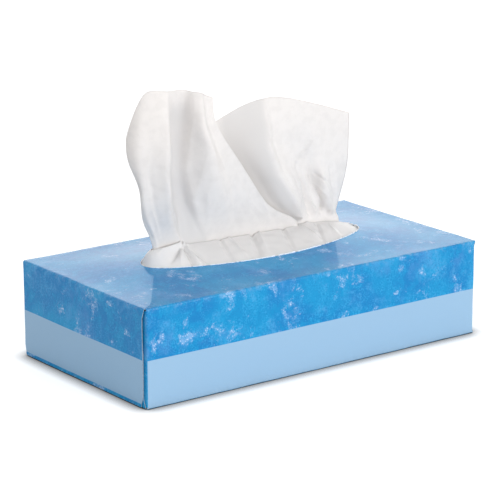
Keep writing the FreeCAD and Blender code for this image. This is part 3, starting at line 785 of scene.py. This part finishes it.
def sheet_relief(grid, line_share):
    """How far each point of the sheet stands out along its normal, by waves, gathers and folds, and where the
    sheet is given painted shade."""
    relief, painted_shade = np.zeros(grid.shape[:2]), np.zeros(grid.shape[:2])
    slit = film_height(0, 0)
    for i in range(grid.shape[0]):
        for j in range(grid.shape[1]):
            x, y, z = grid[i, j]
            above = z - slit
            free = min(max((above - CALM) / RELIEF_GROWTH, 0.0), 1.0)
            low = free * math.exp(-above / GATHER_REACH)
            around = line_share[i] * 40
            waves = WAVES * noise.noise(Vector((around / 2.1, z / 60, 0.3)))
            gathers = GATHERS * low * noise.noise(Vector((around * 1.1, z / 90, 5.0)))
            crumple = CRUMPLE * noise.noise(Vector((x / 9, z / 14, y / 9)))
            relief[i, j] = free * (waves + crumple) + gathers
            if above > 0 and line_share[i] > BACK_SHARE:
                held = min(max((above - FOLD_START) / BACK_GROWTH, 0.0), 1.0)
                relief[i, j] += held * fold_relief(x, z, BACK_FOLDS)
                # Marks the zone of painted shade beside the front half's free edge; the sheet is a single
                # layer here
                painted_shade[i, j] = fold_relief(x, z, BACK_PAINTED_SHADE, PAINTED_SHADE_FADE)
            if above > 0 and line_share[i] < FRONT_SHARE:
                held = min(max((above - FOLD_START) / FRONT_GROWTH, 0.0), 1.0)
                relief[i, j] -= held * fold_relief(x, z, FRONT_FOLDS)
                # Marks the zone of painted shade along the front pleat; the sheet is a single layer here
                painted_shade[i, j] = fold_relief(x, z, FRONT_PAINTED_SHADE, PAINTED_SHADE_FADE)
    return relief, painted_shade


def closed_sheet(grid, painted_shade, thickness):
    """A thin closed skin round a grid of points in millimetres. A layer marks where the sheet gets painted
    shade.
    """
    normals = grid_normals(grid)
    near, far = grid + normals * thickness / 2, grid - normals * thickness / 2
    surface = bmesh.new()
    # This layer carries the painted shade marks to the tissue material
    mark = surface.verts.layers.float.new("painted_shade")
    last_row, last_column = len(grid) - 1, len(grid[0]) - 1
    skins = [(near, painted_shade), (far, painted_shade)]
    for row in (0, last_row):
        skins.append((np.array([near[row], far[row]]), np.array([painted_shade[row]] * 2)))
    for column in (0, last_column):
        skins.append((np.array([near[:, column], far[:, column]]), np.array([painted_shade[:, column]] * 2)))
    for points, values in skins:
        for line, marks in zip(add_grid(surface, points.tolist()), values):
            for vertex, value in zip(line, marks):
                vertex[mark] = value
    return surface


def make_standing_sheet(material):
    lines = np.array([[list(point) for point in sheet_line(*line)] for line in SHEET_LINES])
    around = spacing_of(lines)
    down = spacing_of(lines.swapaxes(0, 1))
    columns, rows = np.linspace(0, 1, SHEET_COLUMNS), np.linspace(0, 1, SHEET_ROWS)
    wide = smooth_through(lines, around, columns)
    grid = smooth_through(wide.swapaxes(0, 1), down, rows).swapaxes(0, 1)
    relief, painted_shade = sheet_relief(grid, columns)
    grid = grid - grid_normals(grid) * relief[..., None]
    surface = closed_sheet(grid, painted_shade, SHEET_THICKNESS)
    return add_object("standing_sheet", finished_mesh("standing_sheet", surface, 0.01), [material])


# Stack of folded sheets
def stack_tree():
    tree = bpy.data.node_groups.new("stack of folded sheets", "GeometryNodeTree")
    inputs = {}
    tree.interface.new_socket("Geometry", in_out="INPUT", socket_type="NodeSocketGeometry")
    for name, kind in (
        ("Count", "NodeSocketInt"),
        ("Pitch", "NodeSocketVector"),
        ("Start", "NodeSocketVector"),
        ("Slip", "NodeSocketVector"),
        ("Seed", "NodeSocketInt"),
        ("Material", "NodeSocketMaterial"),
    ):
        inputs[name] = tree.interface.new_socket(name, in_out="INPUT", socket_type=kind).identifier
    tree.interface.new_socket("Geometry", in_out="OUTPUT", socket_type="NodeSocketGeometry")
    given = add_node(tree, "NodeGroupInput").outputs
    line = add_node(
        tree,
        "GeometryNodeMeshLine",
        None,
        {"Count": given["Count"], "Start Location": given["Start"], "Offset": given["Pitch"]},
    )
    back = add_node(tree, "ShaderNodeVectorMath", {"operation": "SCALE", "Scale": -1.0}, {0: given["Slip"]})
    slip = add_node(
        tree,
        "FunctionNodeRandomValue",
        {"data_type": "FLOAT_VECTOR"},
        {0: back.outputs[0], 1: given["Slip"], "Seed": given["Seed"]},
    )
    links = {"Geometry": line.outputs[0], "Offset": slip.outputs[0]}
    moved = add_node(tree, "GeometryNodeSetPosition", None, links)
    links = {"Points": moved.outputs[0], "Instance": given["Geometry"]}
    placed = add_node(tree, "GeometryNodeInstanceOnPoints", None, links)
    real = add_node(tree, "GeometryNodeRealizeInstances", None, {0: placed.outputs[0]})
    finish = add_node(
        tree, "GeometryNodeSetMaterial", None, {"Geometry": real.outputs[0], "Material": given["Material"]}
    )
    add_node(tree, "NodeGroupOutput", None, {0: finish.outputs[0]})
    return tree, inputs


def make_stack(material):
    """Folded leaves, each a thin slab with its two long folds rounded."""
    pitch = STACK_HEIGHT / LEAVES
    thick = pitch * LEAF_SHARE
    half_width, half_length = STACK_WIDTH / 2 - SLIP_ROOM, STACK_LENGTH / 2 - SLIP_ROOM
    section = []
    for side in (1, -1):
        for angle in (-90, -45, 0, 45, 90):
            turn = math.radians(angle)
            across = half_width - thick / 2 + thick / 2 * math.cos(turn)
            section.append((side * across, side * thick / 2 * math.sin(turn)))
    leaf = bmesh.new()
    ring = section + section[:1]
    add_grid(leaf, [[(x, y, z) for y, z in ring] for x in (-half_length, half_length)])
    bmesh.ops.remove_doubles(leaf, verts=leaf.verts, dist=0.001 * MM)
    bmesh.ops.holes_fill(leaf, edges=leaf.edges)
    mesh = finished_mesh("folded_leaf", leaf, 0.001)
    tree, inputs = stack_tree()
    values = {
        "Count": LEAVES,
        "Pitch": Vector((0, 0, pitch)) * MM,
        "Start": Vector((0, 0, STACK_LOW + pitch / 2)) * MM,
        "Slip": Vector((LEAF_SLIP, LEAF_SLIP, 0)) * MM,
        "Seed": 11,
        "Material": material,
    }
    stack = made_by("folded_sheets", mesh, tree, inputs, values)
    stack.data.set_sharp_from_angle(angle=math.radians(50))
    return stack


# Floor, lights and camera. Softboxes have a place, an aim and a size in metres, and a power in watts.
CONTACT_SHADOW, SHADOW_FADE = 10.0, 1.6
FLOOR_LIFT, FLOOR_SIZE = 0.48, 6.0
WORLD_LEVEL = 0.70
SOFTBOXES = [
    ("key", (0.75, -2.0, 0.75), (0, 0, 0.06), (1.4, 1.1), 10.5),
    ("front", (-0.50, -2.10, 0.28), (0, 0, 0.10), (1.8, 0.55), 15.5),
    ("back", (0.80, 1.05, 0.42), (0, 0, 0.08), (1.9, 0.75), 4.4),
]
CAMERA_PLACE, CAMERA_AIM = (-781.55, -1038.88, 409.17), (-1.97, 0, 55.36)
CAMERA_LENS, CAMERA_SENSOR = 172.5, 36


def floor_material():
    """Seamless white paper: seen near white, with a painted soft shadow close round the carton's foot, where
    ambient occlusion darkens its colour and its lift.
    """
    material, tree, surface = blank_material("seamless white paper")
    # Painted shadow: ambient occlusion scales the floor's colour and its seen-only lift towards black close
    # to the carton
    settings = {"samples": 16, "Distance": CONTACT_SHADOW * MM}
    open_sky = add_node(tree, "ShaderNodeAmbientOcclusion", settings).outputs["AO"]
    power = {"operation": "POWER", 1: SHADOW_FADE}
    open_share = add_node(tree, "ShaderNodeMath", power, {0: open_sky}).outputs[0]
    colour = laid_over(tree, "#000000", "#F2F2F2", open_share)
    shader = add_node(tree, "ShaderNodeBsdfDiffuse", None, {"Color": colour})
    path = add_node(tree, "ShaderNodeLightPath")
    seen = times(tree, times(tree, path.outputs["Is Camera Ray"], open_share), FLOOR_LIFT)
    lift = add_node(tree, "ShaderNodeEmission", {"Color": (1, 1, 1, 1)}, {"Strength": seen})
    both = add_node(tree, "ShaderNodeAddShader", None, {0: shader.outputs[0], 1: lift.outputs[0]})
    tree.links.new(both.outputs[0], surface)
    return material


def set_world(strength):
    """White where the camera or a reflection sees it, and soft even light otherwise."""
    world = bpy.data.worlds.new("white studio")
    bpy.context.scene.world = world
    world.use_nodes = True
    tree = world.node_tree
    tree.nodes.clear()
    path = add_node(tree, "ShaderNodeLightPath")
    seen = path.outputs["Is Camera Ray"]
    for ray in ("Is Glossy Ray", "Is Transmission Ray"):
        either = {0: seen, 1: path.outputs[ray]}
        seen = add_node(tree, "ShaderNodeMath", {"operation": "MAXIMUM"}, either).outputs[0]
    levels = {"To Min": strength, "To Max": 1.0}
    level = add_node(tree, "ShaderNodeMapRange", levels, {"Value": seen}).outputs["Result"]
    back = add_node(tree, "ShaderNodeBackground", {"Color": (1, 1, 1, 1)}, {"Strength": level})
    add_node(tree, "ShaderNodeOutputWorld", None, {"Surface": back.outputs[0]})


def add_softbox(name, place, aim, size, watts):
    lamp = bpy.data.lights.new(name, "AREA")
    lamp.shape = "RECTANGLE"
    lamp.size, lamp.size_y = size
    lamp.energy = watts
    box = bpy.data.objects.new(name, lamp)
    bpy.context.collection.objects.link(box)
    box.location = place
    box.rotation_euler = (Vector(aim) - Vector(place)).to_track_quat("-Z", "Y").to_euler()
    box.visible_camera = False


def add_camera():
    """The photograph's viewpoint: a long lens from the front left, a little above the box."""
    place, aim = Vector(CAMERA_PLACE), Vector(CAMERA_AIM)
    camera = bpy.data.cameras.new("camera")
    camera.lens = CAMERA_LENS
    camera.sensor_width = CAMERA_SENSOR
    camera.clip_start = 0.05
    holder = bpy.data.objects.new("camera", camera)
    bpy.context.collection.objects.link(holder)
    holder.location = place * MM
    holder.rotation_euler = (aim - place).to_track_quat("-Z", "Y").to_euler()
    bpy.context.scene.camera = holder


def make_studio():
    surface = bmesh.new()
    bmesh.ops.create_grid(surface, x_segments=1, y_segments=1, size=FLOOR_SIZE)
    mesh = bpy.data.meshes.new("floor")
    surface.to_mesh(mesh)
    surface.free()
    floor = add_object("floor", mesh, [floor_material()])
    set_world(WORLD_LEVEL)
    for softbox in SOFTBOXES:
        add_softbox(*softbox)
    add_camera()


carton = make_carton([varnished_print_material(), board_back_material(), cut_edge_material()])
nibs = make_nibs(torn_fibre_material())
film = make_film(film_material())
tissue = tissue_material()
standing_sheet = make_standing_sheet(tissue)
stack = make_stack(tissue)
make_studio()
bpy.context.scene.view_settings.view_transform = "Standard"

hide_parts("carton")
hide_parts("film_window")
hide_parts("tissue_stack")
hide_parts("popup_tissue")
for piece in (carton, nibs, film, stack, standing_sheet):
    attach(piece, "root")
